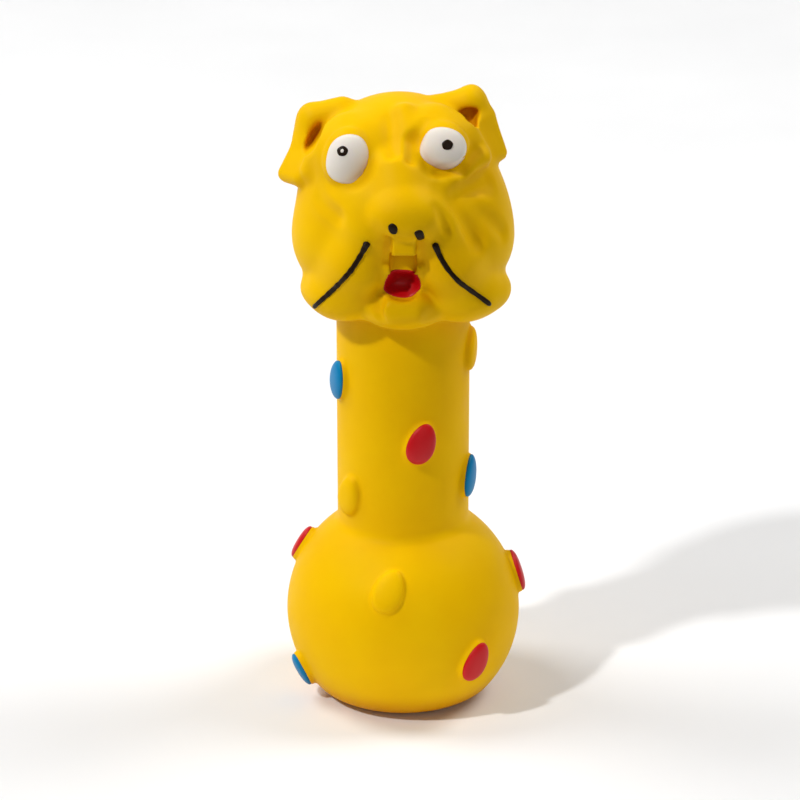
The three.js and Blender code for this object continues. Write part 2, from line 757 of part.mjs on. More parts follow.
function pupil(side) {
  const radii = eyeRadii(side, 0);
  const [across, up] = eyes[side].pupilShares;
  const outline = ovalOutline([pupilRadius, pupilRadius]);
  const gap = coatGap + coatThickness + coatGap;
  return eyeCoat(side, [across * radii.x, up * radii.z], outline, pupilRings, pupilSteps, gap);
}

// Places on the face are given across and up on a plane in front of it, as seen from above its level
const sightAngle = THREE.MathUtils.degToRad(sightDegrees);
const lookDown = new THREE.Vector3(0, Math.cos(sightAngle), -Math.sin(sightAngle));

function onFace([across, up]) {
  return placeInHead([across, sightPlaneShare, up]);
}

function ovalOutline([halfWide, halfHigh]) {
  return (angle) => [halfWide * Math.cos(angle), halfHigh * Math.sin(angle)];
}

// Nostrils, mouth and jowl lines
const leftNostrilShares = [-0.07, 0.92];
const rightNostrilShares = [0.155, 0.855];
const nostrilShares = { left: leftNostrilShares, right: rightNostrilShares };
const mouthFloorShare = -0.72;
const mouthOutlineShares = [
  [-0.18, 0.38], [-0.12, 0.31], [-0.01, 0.28], [0.09, 0.3], [0.165, 0.4],
  [0.11, 0.53], [0, 0.555], [-0.11, 0.54],
];
const leftJowlLineShares = [
  [-0.31, 0.81], [-0.37, 0.69], [-0.46, 0.54], [-0.54, 0.45], [-0.62, 0.37], [-0.72, 0.28], [-0.81, 0.2],
];
const rightJowlLineShares = [
  [0.28, 0.79], [0.33, 0.66], [0.41, 0.53], [0.5, 0.43], [0.6, 0.36], [0.7, 0.29], [0.79, 0.22],
];
const jowlLineShares = { left: leftJowlLineShares, right: rightJowlLineShares };
const jowlSectionShares = [[-1, 0.6], [0, 1], [1, 0.6], [1, 0], [-1, 0]];

function nostril(side) {
  const half = [nostrilWidth / 2, nostrilHeight / 2];
  const outline = ovalOutline(half);
  return roundCoat(onFace(nostrilShares[side]), lookDown, outline, nostrilRings, nostrilSteps, coatGap);
}

function middleOf(points) {
  return points.reduce((sum, point) => sum.add(point), new THREE.Vector3()).divideScalar(points.length);
}

// A bar with the mouth's outline drawn in by an inset, from the pocket's floor towards the front
function mouthBar(inset, start, length) {
  const corners = mouthOutlineShares.map(onFace);
  const centre = middleOf(corners);
  const loop = new THREE.CatmullRomCurve3(corners, true);
  const rounded = loop.getPoints(corners.length * mouthCornerSteps).slice(1);
  const outline = new THREE.Shape(rounded.map((point) => {
    const inwards = centre.clone().sub(point).setLength(inset);
    return new THREE.Vector2(point.x + inwards.x, point.z + inwards.z);
  }));
  const bar = new THREE.ExtrudeGeometry(outline, { depth: length, bevelEnabled: false });
  return bar.rotateX(Math.PI / 2).translate(0, mouthFloorShare * headHalfDepth - start, 0);
}

function mouthPocket() {
  return solidOf(mouthBar(0, 0, headHalfDepth));
}

function mouthRed() {
  return mouthBar(coatGap, coatGap, coatThickness);
}

function jowlLine(side) {
  const curve = new THREE.CatmullRomCurve3(jowlLineShares[side].map(onFace));
  const rings = [];
  for (let step = 0; step <= jowlLineSteps; step += 1) {
    const middle = curve.getPoint(step / jowlLineSteps);
    const along = curve.getTangent(step / jowlLineSteps);
    const across = new THREE.Vector3(along.z, 0, -along.x).normalize();
    const ring = [];
    for (const [shift, rise] of jowlSectionShares) {
      const start = middle.clone().addScaledVector(across, shift * jowlLineWidth / 2);
      const { point, out } = skinPoint(start, lookDown);
      ring.push(point.addScaledVector(out, coatGap + rise * coatThickness));
    }
    rings.push(ring);
  }
  return lean(closedRings([middleOf(rings[0])], rings, [middleOf(rings[jowlLineSteps])]));
}

// The squeaker's housing: a flange under the latex lip, a waist, a barb over it and an open barrel
function squeakerHousing() {
  const outside = turned([
    [0, flangeRecess], [flangeRadius, flangeRecess], [flangeRadius, flangeTop],
    [waistRadius, flangeTop], [waistRadius, barbBottom], [barbRadius, barbBottom],
    [barrelRadius, barbBottom + barbHeight], [barrelRadius, barrelTop], [0, barrelTop],
  ], squeakerTurnSteps);
  const bore = turned([
    [0, flangeRecess - cutOverrun], [ventRadius, flangeRecess - cutOverrun], [ventRadius, boreBottom],
    [boreRadius, boreBottom], [boreRadius, barrelTop + cutOverrun], [0, barrelTop + cutOverrun],
  ], squeakerTurnSteps);
  return geometryOf(solidOf(outside).subtract(solidOf(bore)));
}

// A half-round bar that stands in the bore, flat side at the given distance from the axis
function halfRound(radius, flatAt, bottom, length) {
  const angle = Math.asin(flatAt / radius);
  const outline = new THREE.Shape();
  outline.absarc(0, 0, radius, angle, Math.PI - angle, false);
  outline.closePath();
  const settings = { depth: length, bevelEnabled: false, curveSegments: coreCurveSteps };
  const bar = new THREE.ExtrudeGeometry(outline, settings);
  return bar.translate(0, 0, bottom);
}

const facing = reedThickness / 2 + seatGap;
const coreRadius = boreRadius - seatGap;
const coreBottom = boreBottom + seatGap;

function reedCore() {
  const bar = halfRound(coreRadius, facing, coreBottom, coreLength);
  const grooveLength = coreLength - airGrooveEndWall + cutOverrun;
  const air = new THREE.BoxGeometry(airGrooveWidth, 2 * airGrooveDepth, grooveLength);
  air.translate(0, facing, coreBottom - cutOverrun + grooveLength / 2);
  return geometryOf(solidOf(bar).subtract(solidOf(air)));
}

function reedWedge() {
  return halfRound(coreRadius, facing, barrelTop - wedgeLength, wedgeLength).rotateZ(Math.PI);
}

function reed() {
  const length = reedRootLength + reedFreeLength;
  const strip = new THREE.Shape();
  const half = reedWidth / 2;
  strip.moveTo(-half, -reedRootLength);
  strip.lineTo(half, -reedRootLength);
  strip.lineTo(half, reedFreeLength - half);
  strip.absarc(0, reedFreeLength - half, half, 0, Math.PI, false);
  strip.closePath();
  const settings = { depth: reedThickness, bevelEnabled: false, curveSegments: reedCurveSteps };
  const blade = new THREE.ExtrudeGeometry(strip, settings);
  blade.translate(0, 0, -reedThickness / 2);
  return blade.rotateX(Math.PI / 2).translate(0, 0, barrelTop);
}

// The assembly
const toy = new THREE.Group();

function addPiece(name, geometry, material) {
  const mesh = new THREE.Mesh(geometry, material);
  mesh.name = name;
  toy.add(mesh);
}

addPiece('latex_skin', latexSkin(), yellowLatex);
addPiece('squeaker_housing', squeakerHousing(), housingPlastic);
addPiece('reed_core', reedCore(), housingPlastic);
addPiece('reed_wedge', reedWedge(), housingPlastic);
addPiece('reed', reed(), reedPlastic);
for (const side of ['left', 'right']) {
  addPiece(`eye_white_${side}`, eyeWhite(side), whiteLatex);
  addPiece(`pupil_${side}`, pupil(side), blackLatex);
  addPiece(`nostril_${side}`, nostril(side), blackLatex);
  addPiece(`jowl_line_${side}`, jowlLine(side), blackLatex);
}
addPiece('mouth_red', mouthRed(), redLatex);
const spotCounts = { red: 0, blue: 0 };
const spotMaterials = { red: redLatex, blue: blueLatex };
for (const { colour, place } of spotPlaces()) {
  if (colour in spotMaterials) {
    spotCounts[colour] += 1;
    addPiece(`${colour}_spot_${spotCounts[colour]}`, spotCoat().applyMatrix4(place), spotMaterials[colour]);
  }
}

// The origin is under the middle of the toy's box, on the plane of its foot
const box = new THREE.Box3().setFromObject(toy);
const middle = box.getCenter(new THREE.Vector3());
toy.position.set(-middle.x, -middle.y, -box.min.z);

export default toy;
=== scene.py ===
# A squeaking latex chew toy for a dog: the fine casting, its coats of coloured latex and the
# finish of its squeaker. Metres, +Z up, the face looks along -Y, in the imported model's frame.
import math

import bpy
import numpy as np
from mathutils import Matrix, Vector


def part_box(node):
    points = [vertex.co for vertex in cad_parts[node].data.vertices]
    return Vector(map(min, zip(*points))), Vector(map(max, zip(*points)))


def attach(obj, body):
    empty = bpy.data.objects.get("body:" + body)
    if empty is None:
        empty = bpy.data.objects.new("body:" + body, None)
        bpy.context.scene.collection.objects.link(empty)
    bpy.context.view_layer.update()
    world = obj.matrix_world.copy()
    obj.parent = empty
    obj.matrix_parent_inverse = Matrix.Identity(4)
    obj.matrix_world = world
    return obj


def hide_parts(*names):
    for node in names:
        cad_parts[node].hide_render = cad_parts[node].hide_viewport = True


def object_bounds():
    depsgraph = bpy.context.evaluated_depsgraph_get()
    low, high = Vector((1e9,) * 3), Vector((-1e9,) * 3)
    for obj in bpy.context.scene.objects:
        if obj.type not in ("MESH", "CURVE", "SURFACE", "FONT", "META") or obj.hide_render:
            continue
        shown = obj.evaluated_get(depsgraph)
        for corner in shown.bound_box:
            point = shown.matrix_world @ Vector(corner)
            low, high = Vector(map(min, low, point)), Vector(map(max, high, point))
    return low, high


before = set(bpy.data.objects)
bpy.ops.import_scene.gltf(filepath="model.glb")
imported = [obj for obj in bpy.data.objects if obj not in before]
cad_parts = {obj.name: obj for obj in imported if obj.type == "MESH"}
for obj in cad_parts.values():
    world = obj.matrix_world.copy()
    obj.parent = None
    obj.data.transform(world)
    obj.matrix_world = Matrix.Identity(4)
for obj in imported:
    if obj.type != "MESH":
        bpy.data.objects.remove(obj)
cad_low, cad_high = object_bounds()

# Driving dimensions of the casting
MM = 0.001
BULB_RADIUS = 33.3 * MM
BULB_CENTRE_HEIGHT = 25 * MM
FOOT_FILLET = 4 * MM
NECK_RADIUS = 18.6 * MM
NECK_FILLET = 1.6 * MM
CHAMBER_FILLET = 3 * MM
JAW_HEIGHT = 117.5 * MM
WALL_THICKNESS = 3 * MM
HEAD_HALF = 30 * MM
HEAD_LEAN = math.radians(6)
LEAN_START_HEIGHT = 139.5 * MM
LEAN_END_HEIGHT = 155.5 * MM
NECK_TOP = JAW_HEIGHT + HEAD_HALF / 2
JAW_BLEND = 0.8 * MM

# Driving dimensions of the squeaker's seat
RECESS_RADIUS = 9.8 * MM
HOLE_RADIUS = 6.7 * MM
LIP_BOTTOM = 2.3 * MM
LIP_TOP = 5.3 * MM
SEAT_ROUNDING = 0.4 * MM

# Driving dimensions of the spots and the coats. The power says how blunt a coat's edge is.
SPOT_WIDTH = 8.6 * MM
SPOT_LENGTH = 12.6 * MM
SPOT_HEIGHT = 2.2 * MM
SPOT_BLEND = 0.5 * MM
COAT_THICKNESS = 0.35 * MM
COAT_ROOT = 0.2 * MM
COAT_EDGE_POWER = 6

# Fineness of the casting's mesh: the cells of its grid, how many of them a rough cell spans and
# how many lie free around the box
CELL = 0.7 * MM
BAND_CELLS = 4
MARGIN_CELLS = 2

# How points settle on a surface: the probe of its slope, the least slope and the rounds it takes
PROBE = 0.05 * MM
LEAST_SLOPE_SQUARED = 0.25
SKIN_ROUNDS = 2
SPOT_ROUNDS = 4

# The toy's upright axis runs through the middle of the squeaker's housing
housing_low, housing_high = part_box("squeaker_housing")
AXIS = np.array([*((Vector(housing_low) + Vector(housing_high)) / 2).xy, 0])

# The head as clay, in shares of its half size, with the jaw at the height 0. Each row adds or
# cuts one form with a soft blend, once or as a mirrored pair. Turns are degrees about x, y and z,
# and what is far from every form has the far share as its distance.
CLAY_SHARES = [
    # Skull, cheeks, brows and the broad muzzle
    dict(add="egg", at=(0, 0.03, 1.1), radii=(0.88, 0.8, 0.86), blend=0.1),
    dict(add="egg", pair=True, at=(0.4, -0.06, 1.08), radii=(0.45, 0.6, 0.46), blend=0.2),
    dict(add="egg", pair=True, at=(0.44, -0.12, 0.69), radii=(0.58, 0.66, 0.6), blend=0.2),
    dict(add="egg", at=(0, -0.42, 1.12), radii=(0.7, 0.6, 0.44), blend=0.14),
    dict(add="egg", pair=True, at=(0.36, -0.34, 1.56), radii=(0.38, 0.32, 0.3), blend=0.16),
    dict(add="egg", at=(0.04, -0.6, 1.27), radii=(0.42, 0.29, 0.31), blend=0.06),
    dict(add="roll", start=(0.03, -0.67, 1.42), end=(0.05, -0.86, 1.2),
         radii=(0.21, 0.2), blend=0.12),
    # Jowls and lip pads
    dict(add="egg", at=(0.48, -0.3, 0.22), radii=(0.51, 0.52, 0.27), blend=0.08),
    dict(add="egg", at=(-0.46, -0.3, 0.23), radii=(0.48, 0.52, 0.26), blend=0.08),
    dict(add="roll", pair=True, start=(0.3, -0.78, 0.92), end=(0.4, -0.68, 0.58),
         radii=(0.22, 0.27), blend=0.16),
    dict(add="roll", pair=True, start=(0.4, -0.68, 0.58), end=(0.56, -0.52, 0.28),
         radii=(0.26, 0.27), blend=0.1),
    dict(add="roll", start=(0, -0.74, 0.84), end=(0, -0.62, 0.36), radii=(0.26, 0.24), blend=0.08),
    # Chin, nose and the block between the nostrils
    dict(add="egg", at=(0, -0.54, 0.15), radii=(0.42, 0.38, 0.22), blend=0.06),
    dict(add="roll", start=(-0.12, -0.82, 0.2), end=(0.12, -0.82, 0.2),
         radii=(0.12, 0.12), blend=0.08),
    dict(add="egg", at=(0.05, -0.92, 1.1), radii=(0.34, 0.24, 0.25), blend=0.06),
    dict(add="block", at=(0.005, -0.86, 0.86), half=(0.12, 0.18, 0.13), rounding=0.04, blend=0.04),
    # Temple ridges
    dict(add="roll", pair=True, start=(0.42, -0.24, 1.76), end=(0.64, -0.3, 1.62),
         radii=(0.11, 0.09), blend=0.12),
    dict(add="roll", pair=True, start=(0.64, -0.3, 1.62), end=(0.77, -0.3, 1.42),
         radii=(0.09, 0.09), blend=0.1),
    # Ears: a fold at the top, a flap that hangs down outside and the narrow pit between them
    dict(add="roll", start=(0.46, 0.08, 1.76), end=(0.71, 0.06, 1.8),
         radii=(0.14, 0.14), blend=0.08),
    dict(add="roll", start=(-0.44, 0.08, 1.83), end=(-0.68, 0.08, 1.8),
         radii=(0.14, 0.14), blend=0.08),
    dict(add="block", at=(0.82, -0.05, 1.48), half=(0.09, 0.2, 0.25), rounding=0.08,
         blend=0.06, turns=(0, -16, -35)),
    dict(add="block", at=(-0.84, -0.06, 1.46), half=(0.09, 0.2, 0.25), rounding=0.08,
         blend=0.06, turns=(0, 40, 35)),
    dict(add="egg", at=(0.75, 0.16, 1.66), radii=(0.15, 0.22, 0.27), blend=0.1),
    dict(add="egg", at=(-0.75, 0.16, 1.64), radii=(0.15, 0.22, 0.26), blend=0.1),
    dict(cut="egg", at=(0.7, -0.14, 1.73), radii=(0.1, 0.2, 0.06), blend=0.03, turns=(0, -6, 0)),
    dict(cut="egg", at=(0.72, -0.16, 1.68), radii=(0.05, 0.18, 0.09), blend=0.03),
    dict(cut="egg", at=(-0.71, -0.2, 1.68), radii=(0.05, 0.24, 0.16), blend=0.04, turns=(0, 36, 0)),
    # Eyeballs in their sockets
    dict(cut="egg", at=(-0.41, -0.78, 1.6),
         radii=(0.24, 0.14, 0.26), blend=0.05, turns=(-20, 16, -8)),
    dict(cut="egg", at=(0.45, -0.78, 1.6),
         radii=(0.24, 0.14, 0.24), blend=0.05, turns=(-20, -30, 8)),
    dict(add="egg", at=(-0.41, -0.55, 1.575),
         radii=(0.23, 0.2, 0.28), blend=0.02, turns=(-20, 16, -8)),
    dict(add="egg", at=(0.45, -0.55, 1.575),
         radii=(0.235, 0.2, 0.25), blend=0.02, turns=(-20, -30, 8)),
    # Grooves beside the block, the wings of the nose and the recess over the mouth
    dict(cut="roll", start=(-0.125, -1.04, 0.93), end=(-0.135, -0.92, 0.66),
         radii=(0.03, 0.045), blend=0.03),
    dict(cut="roll", start=(0.16, -1.04, 0.9), end=(0.145, -0.92, 0.66),
         radii=(0.03, 0.045), blend=0.03),
    dict(cut="roll", start=(0.39, -1.06, 1.18), end=(0.41, -1.0, 0.96),
         radii=(0.07, 0.05), blend=0.05),
    dict(cut="roll", start=(-0.24, -1.14, 1.1), end=(-0.25, -1.08, 0.96),
         radii=(0.04, 0.03), blend=0.05),
    dict(cut="block", at=(0, -1.02, 0.65), half=(0.12, 0.2, 0.1), rounding=0.02, blend=0.02),
    dict(cut="mouth", floor=-0.69, rim=-0.83, reach=0.13, blend=0.02),
    # Creases at the corners of the mouth and the chin
    dict(cut="roll", start=(-0.18, -0.9, 0.35), end=(-0.24, -0.88, 0.23),
         radii=(0.05, 0.05), blend=0.04),
    dict(cut="roll", start=(-0.24, -0.88, 0.23), end=(-0.2, -0.91, 0.1),
         radii=(0.05, 0.04), blend=0.05),
    dict(cut="roll", start=(0.22, -1.0, 0.3), end=(0.27, -0.92, 0.12),
         radii=(0.03, 0.05), blend=0.1),
    # Wrinkles of the brow
    dict(cut="roll", start=(0.01, -0.735, 1.62), end=(0.03, -0.42, 1.88),
         radii=(0.03, 0.04), blend=0.11),
    dict(add="roll", start=(0.11, -0.56, 1.58), end=(0.13, -0.28, 1.86),
         radii=(0.09, 0.07), blend=0.1),
    dict(cut="roll", start=(0.3, -0.53, 1.84), end=(0.205, -0.63, 1.7),
         radii=(0.03, 0.045), blend=0.07),
    dict(cut="roll", start=(0.205, -0.63, 1.7), end=(0.16, -0.77, 1.56),
         radii=(0.045, 0.03), blend=0.1),
    # The bag under the eye and the folds of the cheeks
    dict(add="roll", start=(0.52, -0.63, 1.33), end=(0.78, -0.4, 1.4),
         radii=(0.1, 0.08), blend=0.08),
    dict(cut="roll", start=(0.4, -0.75, 1.42), end=(0.6, -0.68, 1.4),
         radii=(0.03, 0.04), blend=0.07),
    dict(cut="roll", start=(0.6, -0.68, 1.4), end=(0.74, -0.53, 1.52),
         radii=(0.04, 0.03), blend=0.09),
    dict(cut="roll", start=(0.56, -0.78, 1.19), end=(0.84, -0.46, 1.21),
         radii=(0.06, 0.05), blend=0.13),
    dict(cut="roll", start=(0.42, -0.89, 1.3), end=(0.68, -0.77, 0.82),
         radii=(0.02, 0.05), blend=0.13),
    dict(cut="roll", start=(0.68, -0.74, 1.1), end=(0.92, -0.5, 0.8),
         radii=(0.03, 0.03), blend=0.12),
    dict(cut="roll", start=(-0.6, -0.82, 1.1), end=(-0.76, -0.62, 1.24),
         radii=(0.04, 0.03), blend=0.14),
]
FAR_SHARE = 10

# The mouth's outline, across and up, and how its bowl is rounded and how steep its floor can be
MOUTH_SHARES = [
    (-0.18, 0.38), (-0.12, 0.31), (-0.01, 0.28), (0.09, 0.3),
    (0.165, 0.4), (0.11, 0.53), (0, 0.555), (-0.11, 0.54),
]
MOUTH_STEPS = 32
MOUTH_ROUNDING_SHARE = 0.01
MOUTH_SLOPE = 2

# The hollows of the head's air chamber
HOLLOW_SHARES = [
    dict(at=(0, 0.03, 1.07), radii=(0.74, 0.66, 0.66)),
    dict(at=(0, -0.36, 0.95), radii=(0.46, 0.46, 0.34)),
]

# Spots on the neck, as a share of the way up it and a turn from the front in degrees,
# and spots on the bulb, as a latitude and a turn
NECK_SPOT_SHARES = [
    dict(up=0.68, turn=-68, colour="blue"),
    dict(up=0.45, turn=15, colour="red"),
    dict(up=0.23, turn=72, colour="blue"),
    dict(up=0.17, turn=-53, colour="yellow"),
    dict(up=0.8, turn=80, colour="yellow"),
    dict(up=0.7, turn=152, colour="red"),
    dict(up=0.42, turn=-145, colour="blue"),
    dict(up=0.2, turn=165, colour="red"),
]
BULB_SPOTS = [
    dict(latitude=30, turn=-8, colour="yellow"),
    dict(latitude=30, turn=-103, colour="red"),
    dict(latitude=18, turn=92, colour="red"),
    dict(latitude=-9, turn=37, colour="red"),
    dict(latitude=-26, turn=-70, colour="blue"),
    dict(latitude=26, turn=145, colour="blue"),
    dict(latitude=8, turn=-150, colour="yellow"),
    dict(latitude=-14, turn=170, colour="red"),
]
SPOT_TILT = math.radians(18)
SPOT_EGG_SHARE = 0.16
SPOT_ROUNDNESS = 2.6
SPOT_COAT_SHARE = 0.8
SPOT_COAT_WIDTH_SHARE = 0.92
SPOT_COAT_RINGS = 10
SPOT_COAT_STEPS = 40


# The least that something is divided by
LEAST_REACH = 1e-6
LEAST_SLOPE = 1e-9


# Fields are signed distances, negative inside, of points in an array of any shape
def length(vectors):
    return np.sqrt((vectors * vectors).sum(-1))


# Two fields joined with a soft blend, joined with a rounded valley, and where both are, rounded
def smooth_union(a, b, blend):
    share = np.clip(0.5 + 0.5 * (b - a) / blend, 0, 1)
    return b + (a - b) * share - blend * share * (1 - share)


def round_union(a, b, radius):
    reach = np.sqrt(np.maximum(radius - a, 0) ** 2 + np.maximum(radius - b, 0) ** 2)
    return np.maximum(radius, np.minimum(a, b)) - reach


def round_meet(a, b, radius):
    reach = np.sqrt(np.maximum(radius + a, 0) ** 2 + np.maximum(radius + b, 0) ** 2)
    return np.minimum(-radius, np.maximum(a, b)) + reach


# Points in the own frame of a form that stands at a place, turned about x, then y, then z
def turned_back(points, at, turns):
    cos_x, cos_y, cos_z = np.cos(np.radians(turns))
    sin_x, sin_y, sin_z = np.sin(np.radians(turns))
    about_x = np.array([[1, 0, 0], [0, cos_x, -sin_x], [0, sin_x, cos_x]])
    about_y = np.array([[cos_y, 0, sin_y], [0, 1, 0], [-sin_y, 0, cos_y]])
    about_z = np.array([[cos_z, -sin_z, 0], [sin_z, cos_z, 0], [0, 0, 1]])
    matrix = (about_z @ about_y @ about_x).astype(np.float32)
    return (points - np.array(at, np.float32)) @ matrix


def egg(points, row):
    size = np.array(row["radii"], np.float32)
    local = turned_back(points, row["at"], row.get("turns", (0, 0, 0))) / size
    reach = length(local)
    return reach * (reach - 1) / np.maximum(length(local / size), LEAST_REACH)


def roll(points, row):
    start = np.array(row["start"], np.float32)
    along = np.array(row["end"], np.float32) - start
    local = points - start
    share = np.clip(local @ along / (along @ along), 0, 1)
    first, last = row["radii"]
    return length(local - share[..., None] * along) - (first + (last - first) * share)


def block(points, row):
    rounding = row["rounding"]
    local = np.abs(turned_back(points, row["at"], row.get("turns", (0, 0, 0))))
    local = local - (np.array(row["half"], np.float32) - rounding)
    return length(np.maximum(local, 0)) + np.minimum(local.max(-1), 0) - rounding


# A closed curve through corners (Catmull-Rom), as points
def smooth_loop(corners, steps):
    corners = np.array(corners)
    places = np.linspace(0, len(corners), steps, endpoint=False)
    first = places.astype(int)
    share = (places - first)[:, None]
    a, b, c, d = (corners[(first + shift) % len(corners)] for shift in (-1, 0, 1, 2))
    return 0.5 * (2 * b + (c - a) * share + (2 * a - 5 * b + 4 * c - d) * share ** 2
                  + (3 * b - a - 3 * c + d) * share ** 3)


def outline_distance(across, up, loop):
    nearest = np.full(across.shape, np.inf, np.float32)
    inside = np.zeros(across.shape, bool)
    for (x0, y0), (x1, y1) in zip(loop, np.roll(loop, -1, axis=0)):
        along = np.array([x1 - x0, y1 - y0])
        share = np.clip(((across - x0) * along[0] + (up - y0) * along[1]) / (along @ along), 0, 1)
        away = np.hypot(across - x0 - share * along[0], up - y0 - share * along[1])
        nearest = np.minimum(nearest, away)
        if y0 != y1:
            crosses = ((y0 > up) != (y1 > up)) & (across < (x1 - x0) * (up - y0) / (y1 - y0) + x0)
            inside ^= crosses
    return np.where(inside, -nearest, nearest)


MOUTH_LOOP = smooth_loop(MOUTH_SHARES, MOUTH_STEPS)


# A bowl behind the outline of the mouth, deepest in its middle
def mouth(points, row):
    edge = outline_distance(points[..., 0], points[..., 2], MOUTH_LOOP)
    rise = np.clip(1 + edge / row["reach"], 0, 1) ** 2
    floor = row["floor"] + (row["rim"] - row["floor"]) * rise
    return round_meet(edge, (points[..., 1] - floor) / MOUTH_SLOPE, MOUTH_ROUNDING_SHARE)


FORMS = {"egg": egg, "roll": roll, "block": block, "mouth": mouth}


def clay_field(shares):
    shares = shares.astype(np.float32)
    mirrored = shares * np.array([-1, 1, 1], np.float32)
    field = np.full(shares.shape[:-1], FAR_SHARE, np.float32)
    for row in CLAY_SHARES:
        form = FORMS[row.get("add") or row.get("cut")]
        for points in (shares, mirrored) if row.get("pair") else (shares,):
            other = form(points, row)
            if "add" in row:
                field = smooth_union(field, other, row["blend"])
            else:
                field = -smooth_union(-field, other, row["blend"])
    return field


def head_shares(points):
    return (points - np.array([0, 0, JAW_HEIGHT])) / HEAD_HALF


# Each spot's colour, its middle on the bare bulb or neck, and its axes
def spot_places():
    neck_bottom = BULB_CENTRE_HEIGHT + math.sqrt(BULB_RADIUS ** 2 - NECK_RADIUS ** 2)
    places = []
    for spot in NECK_SPOT_SHARES:
        out = direction_at(spot["turn"], 0)
        point = out * NECK_RADIUS
        point[2] = neck_bottom + (JAW_HEIGHT - neck_bottom) * spot["up"]
        places.append((spot["colour"], point, spot_axes(out)))
    for spot in BULB_SPOTS:
        out = direction_at(spot["turn"], spot["latitude"])
        point = out * BULB_RADIUS + np.array([0, 0, BULB_CENTRE_HEIGHT])
        places.append((spot["colour"], point, spot_axes(out)))
    return places


def direction_at(turn, latitude):
    across, up = math.radians(turn), math.radians(latitude)
    flat = math.cos(up)
    return np.array([math.sin(across) * flat, -math.cos(across) * flat, math.sin(up)])


# The axes as rows: round the toy and up along its surface, both tilted, and out of it
def spot_axes(out):
    across = np.cross([0, 0, 1], out)
    across /= np.linalg.norm(across)
    up = np.cross(out, across)
    tilted_across = across * math.cos(SPOT_TILT) - up * math.sin(SPOT_TILT)
    tilted_up = across * math.sin(SPOT_TILT) + up * math.cos(SPOT_TILT)
    return np.array([tilted_across, tilted_up, out])


SPOTS = spot_places()


def spot_field(points, centre, axes):
    local = (points - centre) @ axes.T
    along = local[..., 1] / (SPOT_LENGTH / 2)
    across = local[..., 0] / (SPOT_WIDTH / 2 * (1 - SPOT_EGG_SHARE * np.clip(along, -1, 1)))
    plan = across ** 2 + along ** 2
    rise = np.abs(local[..., 2] / SPOT_HEIGHT)
    reach = (plan ** (SPOT_ROUNDNESS / 2) + rise ** SPOT_ROUNDNESS) ** (1 / SPOT_ROUNDNESS)
    return (reach - 1) * SPOT_HEIGHT


def body_field(points):
    ring = np.hypot(points[..., 0], points[..., 1])
    height = points[..., 2]
    ball = np.hypot(ring, height - BULB_CENTRE_HEIGHT) - BULB_RADIUS
    foot = round_meet(ball, -height, FOOT_FILLET)
    neck = np.maximum(ring - NECK_RADIUS, np.abs(height - NECK_TOP / 2 - BULB_CENTRE_HEIGHT / 2)
                      - (NECK_TOP - BULB_CENTRE_HEIGHT) / 2)
    field = round_union(foot, neck, NECK_FILLET)
    for _, centre, axes in SPOTS:
        near = length(points - centre) < SPOT_LENGTH
        field[near] = smooth_union(field[near], spot_field(points[near], centre, axes), SPOT_BLEND)
    return field


def outer_field(points):
    field = body_field(points)
    high = points[..., 2] > JAW_HEIGHT - HEAD_HALF / 2
    head = clay_field(head_shares(points[high])) * HEAD_HALF
    field[high] = smooth_union(field[high], head, JAW_BLEND)
    return field


def hollow_field(points):
    ring = np.hypot(points[..., 0], points[..., 1])
    height = points[..., 2]
    ball = np.hypot(ring, height - BULB_CENTRE_HEIGHT) - (BULB_RADIUS - WALL_THICKNESS)
    chamber = round_meet(ball, LIP_TOP - height, SEAT_ROUNDING)
    neck = np.maximum(ring - (NECK_RADIUS - WALL_THICKNESS),
                      np.maximum(BULB_CENTRE_HEIGHT - height, height - NECK_TOP))
    chamber = smooth_union(chamber, neck, CHAMBER_FILLET)
    shares = head_shares(points)
    for hollow in HOLLOW_SHARES:
        chamber = smooth_union(chamber, egg(shares, hollow) * HEAD_HALF, WALL_THICKNESS)
    recess = np.maximum(ring - RECESS_RADIUS, height - LIP_BOTTOM)
    hole = np.maximum(ring - HOLE_RADIUS, height - LIP_TOP - WALL_THICKNESS)
    return np.minimum(chamber, np.minimum(recess, hole))


def skin_field(points):
    return round_meet(outer_field(points), -hollow_field(points), SEAT_ROUNDING)


def gradient(field, points):
    slope = np.empty(points.shape)
    for axis in range(3):
        step = np.zeros(3)
        step[axis] = PROBE
        slope[..., axis] = (field(points + step) - field(points - step)) / (2 * PROBE)
    return slope


# Points move along the slope of a field until they lie on its surface
def settled(field, points, rounds):
    for _ in range(rounds):
        slope = gradient(field, points)
        step = field(points) / np.maximum((slope * slope).sum(-1), LEAST_SLOPE_SQUARED)
        step = np.clip(step, -CELL, CELL)
        points = points - slope * step[..., None]
    return points


# The head leans to its right above the cheeks
def leaned(points):
    up = points[..., 2] - LEAN_START_HEIGHT
    share = np.clip(up / (LEAN_END_HEIGHT - LEAN_START_HEIGHT), 0, 1)
    angle = -HEAD_LEAN * share * share * (3 - 2 * share)
    moved = points.copy()
    moved[..., 0] = points[..., 0] * np.cos(angle) + up * np.sin(angle)
    moved[..., 2] = up * np.cos(angle) - points[..., 0] * np.sin(angle) + LEAN_START_HEIGHT
    return moved


# The skin's surface as quads: one vertex in each cell that it crosses, one quad for each crossed
# edge. The field is worked out on rough cells first, and finely only near the surface.
def grid_values(low, counts):
    places = [low[axis] + np.arange(counts[axis]) * CELL for axis in range(3)]
    coarse = [places[axis][::BAND_CELLS] for axis in range(3)]
    rough = skin_field(np.stack(np.meshgrid(*coarse, indexing="ij"), -1))
    for axis in range(3):
        rough = np.repeat(rough, BAND_CELLS, axis=axis)
    values = rough[:counts[0], :counts[1], :counts[2]].astype(np.float32)
    near = np.argwhere(np.abs(values) < 2 * BAND_CELLS * CELL)
    values[tuple(near.T)] = skin_field(near * CELL + low)
    return values


